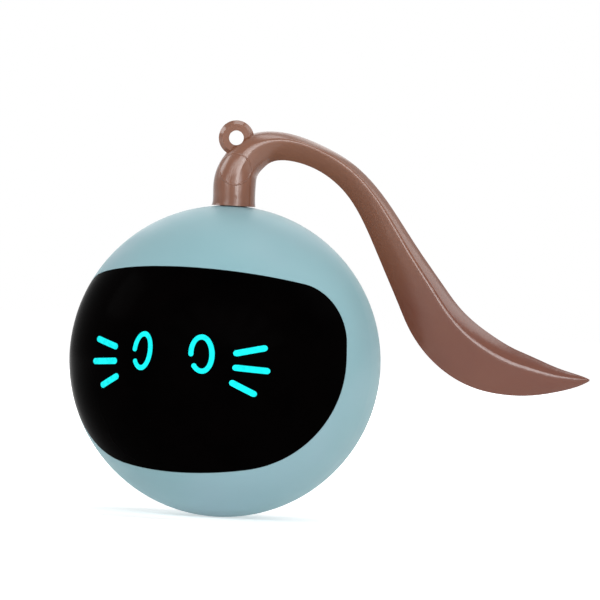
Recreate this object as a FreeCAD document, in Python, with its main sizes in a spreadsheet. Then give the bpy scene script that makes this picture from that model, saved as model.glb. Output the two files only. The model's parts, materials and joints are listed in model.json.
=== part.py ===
import FreeCAD, Part
import math
import os
import re
from types import SimpleNamespace

import Sketcher

# Self-rolling cat ball: a hollow ball with a face window, a swivelling tail and a geared
# counterweight inside.
# Millimetres. X is to the right of the face, -Y is where the face looks, Z is up.
# The origin is the point where the ball touches the floor, under the ball's centre.
# Every piece is drawn about the ball's centre and placed one ball radius up.

os.makedirs("parts", exist_ok=True)
doc = FreeCAD.newDocument("CatBall")
V = FreeCAD.Vector

SIZES = [
    ("ball_radius", 24.25, "outside of the ball"),
    ("shell_wall", 2.0, "wall of the two shells"),
    ("seam_place", 9.0, "plane behind the centre where the shells meet"),
    ("seam_gap", 0.1, "line left open between the shells"),
    ("tongue_length", 1.55, "tongue of the rear cover inside the front shell"),
    ("tongue_wall", 0.95, "wall of that tongue"),
    ("fit_gap", 0.05, "clearance of pieces that are fitted together"),
    ("run_gap", 0.1, "clearance of pieces that turn or slide"),
    # Face window, on the upright plane through the centre, seen from the pole at the back of the ball.
    ("window_half_width", 17.4, "window to each side"),
    ("window_top", 7.9, "top edge at its middle"),
    ("window_bottom", 10.1, "bottom edge"),
    ("window_top_bow", 116.0, "radius of the slightly hollow top edge"),
    ("window_top_corner", 5.45, "upper corner radius"),
    ("window_bottom_corner", 11.0, "lower corner radius"),
    ("window_ledge", 0.8, "ledge that the visor rests on"),
    ("visor_wall", 1.2, "thickness of the visor"),
    # Light marks, measured from the ball's centre as seen from the front.
    ("mark_gap", 0.04, "clearance of the light ribs in the visor"),
    ("mark_shift", 0.45, "all the marks to the right of the window's middle"),
    ("whisker_width", 0.92, "width of a whisker stroke"),
    ("whisker_root", 9.85, "inner end of the two upper whiskers"),
    ("whisker_low_root", 9.45, "inner end of the lowest whisker"),
    ("whisker_top_rise", 1.56, "inner end of the top whisker above centre"),
    ("whisker_mid_drop", 0.65, "inner end of the middle whisker below centre"),
    ("whisker_low_drop", 3.0, "inner end of the lowest whisker below centre"),
    ("whisker_top_length", 3.7, "run of the top whisker between its end centres"),
    ("whisker_mid_length", 4.1, "run of the middle whisker"),
    ("whisker_low_length", 3.15, "run of the lowest whisker"),
    ("whisker_top_angle", 15.0, "slope of the top whisker, degrees"),
    ("whisker_mid_angle", -3.5, "slope of the middle whisker, degrees"),
    ("whisker_low_angle", -27.5, "slope of the lowest whisker, degrees"),
    ("eye_spread", 4.8, "eye centre from the middle"),
    ("eye_rise", 1.15, "eye centre above the ball's centre"),
    ("eye_stroke", 0.75, "width of the eye's line"),
    ("eye_lean", 5.0, "lean of the eyes towards the middle, degrees"),
    ("eye_half_height", 2.6, "half height of the eye's centre line"),
    ("right_eye_half_width", 1.58, "half width of the right eye's centre line"),
    ("left_eye_half_width", 1.36, "half width of the left eye's centre line"),
    ("eye_gap_from", 178.0, "start of the open stretch of the eye, degrees"),
    ("eye_gap_to", 222.0, "end of the open stretch, degrees"),
    ("guide_wall", 1.1, "back plate of the light guide"),
    ("guide_half_width", 16.0, "back plate to each side"),
    ("guide_top", 5.6, "back plate above centre"),
    ("guide_bottom", 6.8, "back plate below centre"),
    ("led_board_inset", 7.25, "front of the LED board behind the ball's surface"),
    ("led_board_thickness", 0.8, "LED board"),
    ("led_board_gap", 0.62, "corners of the LED board to the light guide"),
    ("led_board_top", 4.6, "LED board above centre"),
    ("led_board_bottom", 5.6, "LED board below centre"),
    ("guide_peg_spread", 9.0, "pegs of the light guide from the middle"),
    ("guide_peg_rise", 3.5, "upper pegs above centre"),
    ("guide_peg_drop", 4.5, "lower pegs below centre"),
    ("guide_shoulder_radius", 1.0, "shoulder that the LED board rests on"),
    ("guide_pin_radius", 0.55, "pin through the LED board"),
    ("led_length", 1.6, "LED package"),
    ("led_width", 0.8, "LED package"),
    ("led_height", 0.6, "LED package"),
    # Tail and its socket.
    ("socket_radius", 3.6, "boss of the tail socket"),
    ("socket_depth", 5.65, "bottom of the boss below the top of the ball"),
    ("tail_peg_radius", 2.1, "peg in the socket"),
    ("tail_peg_reach", 0.15, "peg past the end of the socket"),
    ("tail_sink", 0.05, "foot of the tail below the top of the ball"),
    ("tail_turn", 20.5, "rest direction of the tail about the upright, degrees"),
    ("tail_stem", 3.2, "straight foot of the tail's centre line"),
    ("tail_bend_radius", 6.5, "bend at the top of the stem"),
    ("tail_bend_angle", 94.0, "degrees"),
    ("tail_arch_radius", 19.2, "long arch after the bend"),
    ("tail_arch_angle", 54.4, "degrees"),
    ("tail_drop", 17.7, "straight fall after the arch"),
    ("tail_sweep_radius", 19.55, "sweep back to level"),
    ("tail_sweep_angle", 44.2, "degrees"),
    ("tail_tip_radius", 38.0, "last upward sweep to the tip"),
    ("tail_tip_angle", 20.9, "degrees"),
    ("tail_flattening", 3.2, "loss of roundness of a section as its ridges leave the middle"),
    ("tail_least_roundness", 0.25, "roundness that every section keeps"),
    ("tail_ridge_edge", 0.1, "rounding of the ridges, as a share of the section's thickness"),
    ("eyelet_angle", 48.3, "eyelet round the bend from the stem, degrees"),
    ("eyelet_reach", 3.42, "eyelet centre outside the bend's centre line"),
    ("eyelet_radius", 2.75, "outside of the eyelet"),
    ("eyelet_hole_radius", 1.15, "hole of the eyelet"),
    ("eyelet_thickness", 1.8, "thickness of the eyelet"),
    ("eyelet_edge", 0.6, "bevel of its outer edges"),
    ("tail_screw_radius", 0.8, "screw up into the peg"),
    ("tail_screw_length", 4.5, "its shank"),
    ("tail_screw_head_radius", 1.7, "its head"),
    ("tail_screw_head", 1.1, "height of its head"),
    ("tail_washer_radius", 3.1, "washer under the socket"),
    ("tail_washer_thickness", 0.5, "washer"),
    # Drive unit between two side plates.
    ("plate_thickness", 1.2, "side plates"),
    ("left_plate_outer", 13.2, "outer face of the left plate from the centre"),
    ("right_plate_outer", 3.6, "outer face of the right plate from the centre"),
    ("plate_gap", 0.31, "round outline of the plates to the shell"),
    ("plate_board_gap", 1.0, "rear flat of the plates to the main board"),
    ("plate_top_inset", 8.45, "upper flat of the plates below the top of the ball"),
    ("plate_cup_gap", 1.0, "lower flat of the plates below the motor's cup"),
    ("post_radius", 1.15, "posts between the plates"),
    ("post_flat_gap", 2.2, "post centres in from the plates' front and rear flats"),
    ("post_edge_gap", 1.32, "post centres in from the plates' round outline"),
    ("chassis_screw_radius", 0.55, "screws into the posts"),
    ("chassis_screw_head_radius", 1.1, "their sunk heads"),
    ("chassis_screw_head", 0.7, "depth of their heads"),
    ("chassis_screw_length", 4.5, "their whole length"),
    ("guide_block_length", 4.5, "blocks in the front shell that take the plates"),
    ("guide_block_front", 9.0, "front end of those blocks ahead of the centre"),
    ("guide_block_depth", 0.7, "how far they reach over a plate's edge"),
    ("guide_block_wall", 1.1, "their wall outside a plate"),
    ("axle_radius", 1.0, "drive axle"),
    ("axle_end_recess", 0.35, "end of the axle inside the right plate's outer face"),
    ("axle_gap", 0.03, "clearance of the axle and the gear pin in their bores"),
    ("bush_radius", 1.8, "bushes in the plates"),
    ("bush_flange_radius", 2.4, "their flanges"),
    ("bush_flange", 0.4, "thickness of the flanges"),
    ("weight_gap", 0.33, "counterweight to the posts"),
    ("weight_thickness", 7.2, "counterweight"),
    ("weight_hub_radius", 4.0, "round hub of the counterweight"),
    ("weight_side_gap", 1.0, "counterweight to the left bush"),
    ("weight_drop", 0.6, "top of the half disc below the axle's centre"),
    ("set_screw_radius", 0.8, "set screw of the counterweight"),
    ("set_screw_length", 2.4, "set screw"),
    ("gear_module", 0.5, "all gears"),
    ("pressure_angle", 25.0, "degrees"),
    ("tooth_top", 0.8, "tooth height above the pitch circle, in modules"),
    ("tooth_bottom", 1.0, "tooth depth below the pitch circle, in modules"),
    ("tooth_play", 0.07, "taken off each tooth's thickness"),
    ("pinion_teeth", 10, "motor pinion and small end of the reduction gear"),
    ("wheel_teeth", 30, "large end of the reduction gear"),
    ("output_teeth", 34, "gear on the axle"),
    ("output_gear_thickness", 2.0, "rim of the output gear"),
    ("output_gear_hub_radius", 2.0, "its hub towards the right bush"),
    ("output_gear_boss_radius", 3.0, "its hub towards the counterweight"),
    ("output_gear_boss", 0.7, "length of that hub"),
    ("wheel_thickness", 1.4, "rim of the reduction gear's wheel"),
    ("wheel_gap", 0.6, "from the output gear's rim to that wheel"),
    ("reduction_gear_angle", -71.5, "gear pin about the axle, degrees up from the rear"),
    ("motor_angle", 165.0, "motor about the gear pin, degrees up from the rear"),
    ("gear_pin_radius", 0.6, "pin of the reduction gear"),
    ("gear_pin_head_radius", 1.0, "its head"),
    ("gear_pin_head", 0.35, "its head"),
    ("motor_radius", 6.0, "motor can"),
    ("motor_gap", 0.83, "rear corner of the motor can to the shell"),
    ("motor_boss_radius", 2.9, "boss on the motor's face"),
    ("motor_boss", 0.9, "height of that boss"),
    ("motor_hole_radius", 3.2, "hole of the right plate for boss and pinion"),
    ("motor_cup_wall", 0.8, "cup that holds the motor"),
    ("motor_cup_length", 5.4, "cup"),
    ("motor_shaft_radius", 0.5, "motor shaft"),
    ("end_cap_radius", 5.2, "plastic end of the motor"),
    ("end_cap_thickness", 0.8, "plastic end of the motor"),
    ("terminal_spread", 2.6, "terminals from the motor's axis"),
    ("terminal_width", 1.2, "terminals"),
    ("terminal_thickness", 0.3, "terminals"),
    ("terminal_length", 1.1, "terminals"),
    ("battery_thickness", 5.5, "cell"),
    ("battery_width", 16.0, "cell, front to rear"),
    ("battery_height", 11.4, "cell"),
    ("battery_edge", 1.2, "rounding of the cell"),
    ("battery_pad_thickness", 0.5, "adhesive pad"),
    ("battery_gap", 0.3, "cell above the motor cup"),
    ("battery_offset", 2.2, "cell's middle behind the centre"),
    # Main board with charging port and switch, on the rear cover.
    ("board_inset", 8.05, "front of the main board from the back of the ball"),
    ("board_thickness", 1.0, "main board"),
    ("board_half_width", 9.5, "main board to each side"),
    ("board_half_height", 7.0, "main board above and below centre"),
    ("board_screw_spread", 8.2, "board screws from the middle"),
    ("board_screw_height", 5.7, "board screws above and below centre"),
    ("board_post_radius", 1.3, "posts of the rear cover"),
    ("board_screw_radius", 0.55, "board screws"),
    ("board_screw_head_radius", 1.1, "board screws"),
    ("board_screw_head", 0.7, "board screws"),
    ("board_screw_reach", 2.6, "board screws into their posts"),
    ("rear_rib_height", 7.7, "ribs that press on the plates, above and below centre"),
    ("rear_rib_thickness", 1.0, "those ribs"),
    ("port_half_width", 4.47, "charging port, outside"),
    ("port_half_height", 1.58, "charging port, outside"),
    ("port_recess", 1.25, "mouth of the port in from the back of the ball"),
    ("port_drop", 4.0, "port below centre"),
    ("port_wall", 0.3, "sheet of the port"),
    ("port_floor", 1.2, "solid back end of the port"),
    ("port_tongue_half_width", 3.3, "contact tongue of the port"),
    ("port_tongue_thickness", 0.7, "contact tongue of the port"),
    ("port_gap", 0.2, "rear cover around the port"),
    ("button_rise", 4.0, "power button above centre"),
    ("button_radius", 2.5, "power button"),
    ("button_flange_radius", 3.2, "flange that keeps it in"),
    ("button_flange", 0.6, "that flange"),
    ("button_proud", 0.25, "button above the ball's surface"),
    ("button_edge", 0.4, "bevel round its top"),
    ("button_travel", 0.4, "push of the button"),
    ("switch_half_width", 2.25, "body of the switch"),
    ("switch_height", 1.6, "body of the switch"),
    ("plunger_radius", 0.9, "plunger of the switch"),
    ("plunger_depth", 0.9, "plunger inside the switch at rest"),
    ("chip_width", 4.0, "controller chip"),
    ("chip_height", 0.9, "chips"),
    ("small_chip_width", 2.8, "charger chip"),
    ("controller_place", 4.2, "controller chip from the middle"),
    ("charger_place", 6.4, "charger chip from the middle, on the other side"),
    # Screws between the shells.
    ("screw_inset", 4.35, "shell screws in from the ball's surface"),
    ("screw_slope", 20.0, "shell screws above and below level, degrees"),
    ("screw_radius", 0.85, "shell screws"),
    ("screw_length", 8.0, "their shank"),
    ("screw_head_radius", 1.55, "their heads"),
    ("screw_head", 1.2, "their heads"),
    ("screw_seat", 0.8, "head seat behind the seam"),
    ("boss_radius", 2.2, "bosses of the front shell"),
    ("boss_floor", 1.0, "boss past the screw's point"),
    ("column_radius", 1.9, "columns of the rear cover"),
]

# Loft sections of the tail: place along its centre line in percent, width, thickness, and the
# ridge's distance from the outer edge as a share of the width.
TAIL_SECTIONS = [
    ("foot", 0.0, 6.85, 6.8, 0.5),
    ("ankle", 2.8, 6.6, 6.55, 0.5),
    ("stem", 6.4, 6.4, 6.1, 0.48),
    ("bend_start", 10.2, 5.9, 5.4, 0.43),
    ("bend_middle", 14.0, 5.15, 4.7, 0.36),
    ("bend_end", 17.8, 4.35, 4.2, 0.28),
    ("arch_start", 24.1, 3.8, 3.9, 0.23),
    ("arch_middle", 31.8, 4.05, 3.8, 0.25),
    ("arch_end", 40.6, 4.8, 3.9, 0.26),
    ("drop_start", 49.5, 5.9, 4.1, 0.26),
    ("drop_end", 58.4, 7.3, 4.4, 0.25),
    ("leaf_start", 66.0, 8.5, 4.6, 0.245),
    ("leaf_widest", 73.7, 8.95, 4.5, 0.27),
    ("leaf_middle", 80.0, 8.3, 4.1, 0.3),
    ("leaf_narrow", 86.4, 6.7, 3.4, 0.33),
    ("tip_start", 92.1, 4.45, 2.5, 0.36),
    ("tip_middle", 96.5, 2.45, 1.5, 0.38),
    ("point", 100.0, 0.24, 0.2, 0.42),
]
SECTION_SIZES = ("place", "width", "thickness", "ridge")

sheet = doc.addObject("Spreadsheet::Sheet", "Sizes")
rows = list(SIZES)
for section in TAIL_SECTIONS:
    for kind, value in zip(SECTION_SIZES, section[1:]):
        rows.append((f"tail_{section[0]}_{kind}", value, "tail section"))
for number, (alias, value, note) in enumerate(rows, 1):
    sheet.set(f"A{number}", alias)
    sheet.set(f"B{number}", str(value))
    sheet.setAlias(f"B{number}", alias)
    sheet.set(f"C{number}", note)
doc.recompute()
NAMES = {alias for alias, value, note in rows}
s = SimpleNamespace(**{alias: float(sheet.get(alias)) for alias in NAMES})

# Places that several pieces share, as formulas of the sizes.
INNER = "(ball_radius - shell_wall)"
MIDWALL = "(ball_radius - shell_wall / 2)"
WIDE = "(1.5 * ball_radius)"
TONGUE_END = "(seam_place - tongue_length)"
RABBET_FLOOR = "(seam_place - tongue_length - fit_gap)"
VISOR_BACK = "(ball_radius - visor_wall)"
GUIDE_FACE = "(ball_radius - visor_wall - fit_gap)"
GUIDE_BACK = "(ball_radius - visor_wall - fit_gap - guide_wall)"
LED_BOARD_FRONT = "(ball_radius - led_board_inset)"
LED_BOARD_WIDE = f"(sqrt({GUIDE_BACK} ^ 2 - {LED_BOARD_FRONT} ^ 2 - led_board_bottom ^ 2) - led_board_gap)"
LED_BOARD_BACK = "(ball_radius - led_board_inset - led_board_thickness)"
SOCKET_END = "(ball_radius - socket_depth)"
PEG_END = "(ball_radius - socket_depth - tail_peg_reach)"
WASHER_END = "(ball_radius - socket_depth - tail_peg_reach - tail_washer_thickness)"
TAIL_FOOT = "(ball_radius - tail_sink)"
EYELET_X = "(tail_bend_radius - (tail_bend_radius + eyelet_reach) * cos(eyelet_angle * 1deg))"
EYELET_Z = f"({TAIL_FOOT} + tail_stem + (tail_bend_radius + eyelet_reach) * sin(eyelet_angle * 1deg))"
LEFT_OUT = "(-left_plate_outer)"
LEFT_IN = "(plate_thickness - left_plate_outer)"
RIGHT_OUT = "right_plate_outer"
RIGHT_IN = "(right_plate_outer - plate_thickness)"
WEIGHT_LEFT = "(plate_thickness - left_plate_outer + bush_flange + weight_side_gap)"
WEIGHT_RIGHT = "(plate_thickness - left_plate_outer + bush_flange + weight_side_gap + weight_thickness)"
RIM_LEFT = f"({WEIGHT_RIGHT} + run_gap + output_gear_boss)"
RIM_RIGHT = f"({WEIGHT_RIGHT} + run_gap + output_gear_boss + output_gear_thickness)"
WHEEL_LEFT = f"({RIM_RIGHT} + wheel_gap)"
WHEEL_RIGHT = f"({RIM_RIGHT} + wheel_gap + wheel_thickness)"
PLATE_RADIUS = f"(sqrt({INNER} ^ 2 - left_plate_outer ^ 2) - plate_gap)"
PLATE_DEPTH = "(ball_radius - board_inset - plate_board_gap)"
PLATE_TOP = "(ball_radius - plate_top_inset)"
POST_RING = f"({PLATE_RADIUS} - post_edge_gap)"
POST_Y = f"({PLATE_DEPTH} - post_flat_gap)"
POST_Z = f"sqrt({POST_RING} ^ 2 - {POST_Y} ^ 2)"
WEIGHT_RADIUS = f"({POST_RING} - post_radius - weight_gap)"
STAGE_TWO = "((pinion_teeth + output_teeth) * gear_module / 2)"
STAGE_ONE = "((pinion_teeth + wheel_teeth) * gear_module / 2)"
PIN_Y = f"({STAGE_TWO} * cos(reduction_gear_angle * 1deg))"
PIN_Z = f"({STAGE_TWO} * sin(reduction_gear_angle * 1deg))"
MOTOR_Y = f"({PIN_Y} + {STAGE_ONE} * cos(motor_angle * 1deg))"
MOTOR_Z = f"({PIN_Z} + {STAGE_ONE} * sin(motor_angle * 1deg))"
PLATE_BOTTOM = f"(motor_radius + fit_gap + motor_cup_wall + plate_cup_gap - {MOTOR_Z})"
MOTOR_FACE = "(right_plate_outer + fit_gap)"
MOTOR_REACH = f"(sqrt({MOTOR_Y} ^ 2 + {MOTOR_Z} ^ 2) + motor_radius)"
MOTOR_END = f"(sqrt({INNER} ^ 2 - {MOTOR_REACH} ^ 2) - motor_gap)"
MOTOR_LENGTH = f"({MOTOR_END} - {MOTOR_FACE})"
BATTERY_LEFT = "(right_plate_outer + battery_pad_thickness)"
BATTERY_LOW = f"({MOTOR_Z} + motor_radius + fit_gap + motor_cup_wall + battery_gap)"
BOARD_FRONT = "(ball_radius - board_inset)"
BOARD_BACK = "(ball_radius - board_inset + board_thickness)"
PORT_MOUTH = "(ball_radius - port_recess)"
SCREW_RING = "(ball_radius - screw_inset)"
SCREW_X = f"({SCREW_RING} * cos(screw_slope * 1deg))"
SCREW_Z = f"({SCREW_RING} * sin(screw_slope * 1deg))"
SCREW_SEAT = "(seam_place + screw_seat)"
FLANGE_TOP = f"(sqrt({INNER} ^ 2 - (button_rise + button_flange_radius) ^ 2) - run_gap)"
FLANGE_BOTTOM = f"({FLANGE_TOP} - button_flange)"
SWITCH_TOP = f"({BOARD_BACK} + switch_height)"


def formula(text):
    """The same formula with every size read from the sheet."""
    return re.sub(r"[a-z_]+", lambda word: f"Sizes.{word[0]}" if word[0] in NAMES else word[0], text)


def bind(item, **links):
    """Tie properties of an object to formulas, with two underscores for a dot."""
    for name, text in links.items():
        item.setExpression(name.replace("__", "."), formula(text))
    return item


# Turns that lay a piece drawn along Z on another axis.
ALONG = {
    "z": FreeCAD.Rotation(),
    "-z": FreeCAD.Rotation(V(1, 0, 0), 180),
    "x": FreeCAD.Rotation(V(0, 1, 0), 90),
    "-x": FreeCAD.Rotation(V(0, 1, 0), -90),
    "y": FreeCAD.Rotation(V(1, 0, 0), -90),
    "-y": FreeCAD.Rotation(V(1, 0, 0), 90),
}


def put(item, x="0", y="0", z="0", axis="z"):
    """Place an object by formulas, with its own Z along the given axis."""
    item.Placement = FreeCAD.Placement(V(), ALONG[axis])
    return bind(item, Placement__Base__x=x, Placement__Base__y=y, Placement__Base__z=z)


def cylinder(name, radius, start, end, x="0", y="0", z="0", axis="z"):
    """A cylinder from start to end on its axis; the other two coordinates place it."""
    item = doc.addObject("Part::Cylinder", name)
    bind(item, Radius=radius, Height=f"{end} - {start}")
    places = {"x": x, "y": y, "z": z}
    places[axis] = start
    return put(item, axis=axis, **places)


def sphere(name, radius):
    return bind(doc.addObject("Part::Sphere", name), Radius=radius)


def box(name, x, y, z):
    """A box between pairs of formulas."""
    item = doc.addObject("Part::Box", name)
    bind(item, Length=f"{x[1]} - {x[0]}", Width=f"{y[1]} - {y[0]}", Height=f"{z[1]} - {z[0]}")
    return put(item, x[0], y[0], z[0])


def slab(name, start, end):
    """Everything between two upright planes that face the front and the rear."""
    return box(name, (f"-{WIDE}", WIDE), (start, end), (f"-{WIDE}", WIDE))


def fuse(name, items):
    item = doc.addObject("Part::MultiFuse", name)
    item.Shapes = items
    return item


def common(name, items):
    item = doc.addObject("Part::MultiCommon", name)
    item.Shapes = items
    return item


def cut(name, base, tools):
    item = doc.addObject("Part::Cut", name)
    item.Base = base
    item.Tool = tools[0] if len(tools) == 1 else fuse(f"{name}_tools", tools)
    return item


def group(name, items):
    """Separate solids kept as one piece."""
    item = doc.addObject("Part::Compound", name)
    item.Links = items
    return item


def fixed(name, shape):
    """An outline or blank that no ready feature draws."""
    item = doc.addObject("Part::Feature", name)
    item.Shape = shape
    return item


def extrude(name, base, direction, length):
    item = doc.addObject("Part::Extrusion", name)
    item.Base = base
    item.DirMode = "Custom"
    item.Dir = direction
    item.Solid = True
    return bind(item, LengthFwd=length)


def plane_of(body, role):
    for item in body.Origin.OriginFeatures:
        if item.Role == role:
            return item
    raise ValueError(role)


def sketch_on(body, role, offset="0"):
    drawing = body.newObject("Sketcher::SketchObject", f"{body.Name}_sketch")
    drawing.AttachmentSupport = [(plane_of(body, role), "")]
    drawing.MapMode = "FlatFace"
    return bind(drawing, AttachmentOffset__Base__z=offset)


def fix_point(drawing, geometry, point, x, y):
    for kind, text in (("DistanceX", x), ("DistanceY", y)):
        index = drawing.addConstraint(Sketcher.Constraint(kind, -1, 1, geometry, point, 1.0))
        drawing.setExpression(f"Constraints[{index}]", formula(text))


def draw_polygon(drawing, points):
    """A closed outline through points given as pairs of formulas."""
    first = drawing.GeometryCount
    count = len(points)
    angles = [2 * math.pi * k / count for k in range(count)]
    corners = [V(math.cos(angle), math.sin(angle), 0) for angle in angles]
    for k in range(count):
        drawing.addGeometry(Part.LineSegment(corners[k], corners[(k + 1) % count]), False)
    for k in range(count):
        drawing.addConstraint(Sketcher.Constraint("Coincident", first + k, 2, first + (k + 1) % count, 1))
    for k, (x, y) in enumerate(points):
        fix_point(drawing, first + k, 1, x, y)


def draw_circle(drawing, radius, x="0", y="0"):
    index = drawing.addGeometry(Part.Circle(V(), V(0, 0, 1), 1.0), False)
    fix_point(drawing, index, 3, x, y)
    constraint = drawing.addConstraint(Sketcher.Constraint("Radius", index, 1.0))
    drawing.setExpression(f"Constraints[{constraint}]", formula(radius))


def rectangle(x, y):
    return [(x[0], y[0]), (x[1], y[0]), (x[1], y[1]), (x[0], y[1])]


def new_body(name):
    return doc.addObject("PartDesign::Body", name)


def pad(body, drawing, length, kind="PartDesign::Pad"):
    item = body.newObject(kind, f"{body.Name}_{kind.split('::')[1].lower()}")
    item.Profile = drawing
    return bind(item, Length=length)


def round_upright(body, radius):
    """Round the edges of a body's last feature that run along its Z."""
    doc.recompute()
    last = body.Tip
    edges = []
    for index, edge in enumerate(last.Shape.Edges, 1):
        ends = [vertex.Point for vertex in edge.Vertexes]
        if len(ends) == 2 and (ends[1] - ends[0]).cross(V(0, 0, 1)).Length < 1e-6:
            edges.append(f"Edge{index}")
    item = body.newObject("PartDesign::Fillet", f"{body.Name}_fillet")
    item.Base = (last, edges)
    return bind(item, Radius=radius)


def turned(name, profile):
    """A body of revolution about its own Z from a closed outline of radius and height formulas."""
    body = new_body(name)
    drawing = sketch_on(body, "XZ_Plane")
    draw_polygon(drawing, profile)
    item = body.newObject("PartDesign::Revolution", f"{name}_revolution")
    item.Profile = drawing
    item.ReferenceAxis = (drawing, ["V_Axis"])
    item.Angle = 360
    return body


def screw(name, radius, head_radius, head, length):
    """A screw with its head from 0 down and its shank up, along its own Z."""
    return turned(name, [
        ("0", f"-{head}"), (f"{head_radius} * 0.8", f"-{head}"), (head_radius, f"-{head} * 0.7"),
        (head_radius, "0"), (radius, "0"), (radius, f"{length} - {radius}"),
        (f"{radius} * 0.3", length), ("0", length),
    ])


nodes = {}


def node(label, item, lift="0"):
    """Name a finished piece and lift it from the ball's centre to its height above the floor."""
    item.Label = label
    bind(item, Placement__Base__z=f"ball_radius + {lift}")
    nodes[label] = item


# Face window: an outline on the plane through the centre, carried to the surface from the pole at the back.

def window_wire(grow, y):
    half = s.window_half_width + grow
    upper = s.window_top_corner + grow
    lower = s.window_bottom_corner + grow
    bow = s.window_top_bow - grow
    bow_z = s.window_top + grow + bow
    upper_x = half - upper
    upper_z = bow_z - math.sqrt((bow + upper) ** 2 - upper_x ** 2)
    lower_x = half - lower
    lower_z = lower - s.window_bottom - grow
    end = math.atan2(bow_z - upper_z, -upper_x)
    scale = (s.ball_radius - y) / s.ball_radius

    def point(x, z):
        return V(x * scale, y, z * scale)

    def corner(side, x, z, radius, angle):
        return point(side * (x + radius * math.cos(angle)), z + radius * math.sin(angle))

    edges = [Part.LineSegment(corner(-1, lower_x, lower_z, lower, -math.pi / 2),
                              corner(1, lower_x, lower_z, lower, -math.pi / 2))]
    right = [
        Part.Arc(*[corner(1, lower_x, lower_z, lower, turn * math.pi / 4) for turn in (-2, -1, 0)]),
        Part.LineSegment(point(half, lower_z), point(half, upper_z)),
        Part.Arc(*[corner(1, upper_x, upper_z, upper, end * share) for share in (0, 0.5, 1)]),
    ]
    left = [
        Part.Arc(*[corner(-1, upper_x, upper_z, upper, end * share) for share in (1, 0.5, 0)]),
        Part.LineSegment(point(-half, upper_z), point(-half, lower_z)),
        Part.Arc(*[corner(-1, lower_x, lower_z, lower, turn * math.pi / 4) for turn in (0, -1, -2)]),
    ]
    top = Part.Arc(corner(1, upper_x, upper_z, upper, end), point(0, s.window_top + grow),
                   corner(-1, upper_x, upper_z, upper, end))
    edges += right + [top] + left
    return Part.Wire([edge.toShape() for edge in edges])


def window_core(name, grow):
    """The solid that cuts the window, from the middle plane to well outside the face."""
    sections = [
        fixed(f"{name}_back", window_wire(grow, 0)),
        fixed(f"{name}_front", window_wire(grow, -1.1 * s.ball_radius)),
    ]
    item = doc.addObject("Part::Loft", name)
    item.Sections = sections
    item.Solid = True
    item.Ruled = True
    return item


# Light marks: two C-shaped eyes and six whisker strokes.

def stroke_face(x, z, length, angle, radius):
    """A whisker stroke with round ends, from its inner end."""
    along = V(math.cos(angle), 0, math.sin(angle))
    across = V(-math.sin(angle), 0, math.cos(angle)) * radius
    start = V(x, 0, z)
    stop = start + along * length
    edges = [
        Part.LineSegment(start + across, stop + across),
        Part.Arc(stop + across, stop + along * radius, stop - across),
        Part.LineSegment(stop - across, start - across),
        Part.Arc(start - across, start - along * radius, start + across),
    ]
    return Part.Face(Part.Wire([edge.toShape() for edge in edges]))


def eye_face(x, half_width, grow):
    """An upright oval line that leans towards the middle, open low on one side, with round ends."""
    half_stroke = s.eye_stroke / 2 + grow
    centre = V(x, 0, s.eye_rise)
    start, stop = math.radians(s.eye_gap_to), math.radians(s.eye_gap_from + 360)

    def oval(offset):
        top = centre + V(0, 0, s.eye_half_height + offset)
        side = centre - V(half_width + offset, 0, 0)
        return Part.ArcOfEllipse(Part.Ellipse(top, side, centre), start - math.pi / 2, stop - math.pi / 2)

    def on_line(angle, offset=0.0):
        across = (half_width + offset) * math.cos(angle)
        return centre + V(across, 0, (s.eye_half_height + offset) * math.sin(angle))

    def end(angle, ahead):
        along = V(-half_width * math.sin(angle), 0, s.eye_half_height * math.cos(angle)).normalize()
        return Part.Arc(on_line(angle, half_stroke), on_line(angle) + along * half_stroke * ahead,
                        on_line(angle, -half_stroke))

    edges = [oval(half_stroke), end(stop, 1), oval(-half_stroke), end(start, -1)]
    face = Part.Face(Part.Wire([edge.toShape() for edge in edges]))
    face.rotate(centre, V(0, -1, 0), math.copysign(s.eye_lean, x))
    return face


def marks(name, grow):
    """All marks as bars that run forward out of the ball."""
    radius = s.whisker_width / 2 + grow
    whiskers = [
        (s.whisker_root, s.whisker_top_rise, s.whisker_top_length, s.whisker_top_angle),
        (s.whisker_root, -s.whisker_mid_drop, s.whisker_mid_length, s.whisker_mid_angle),
        (s.whisker_low_root, -s.whisker_low_drop, s.whisker_low_length, s.whisker_low_angle),
    ]
    faces = []
    for x, z, length, degrees in whiskers:
        angle = math.radians(degrees)
        faces.append(stroke_face(s.mark_shift + x, z, length, angle, radius))
        faces.append(stroke_face(s.mark_shift - x, z, length, math.pi - angle, radius))
    faces.append(eye_face(s.mark_shift + s.eye_spread, s.right_eye_half_width, grow))
    faces.append(eye_face(s.mark_shift - s.eye_spread, s.left_eye_half_width, grow))
    return extrude(name, fixed(f"{name}_faces", Part.makeCompound(faces)), V(0, -1, 0), WIDE)


# Gears: involute teeth with a shortened top, the blank on the plane across the axle.

def tooth_phase(own_phase, own_teeth, direction, other_teeth):
    """Turn of the other gear, in degrees, that puts its gap on this gear's tooth between the centres."""
    return direction + 180 + ((direction - own_phase) * own_teeth - 180) / other_teeth


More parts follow.
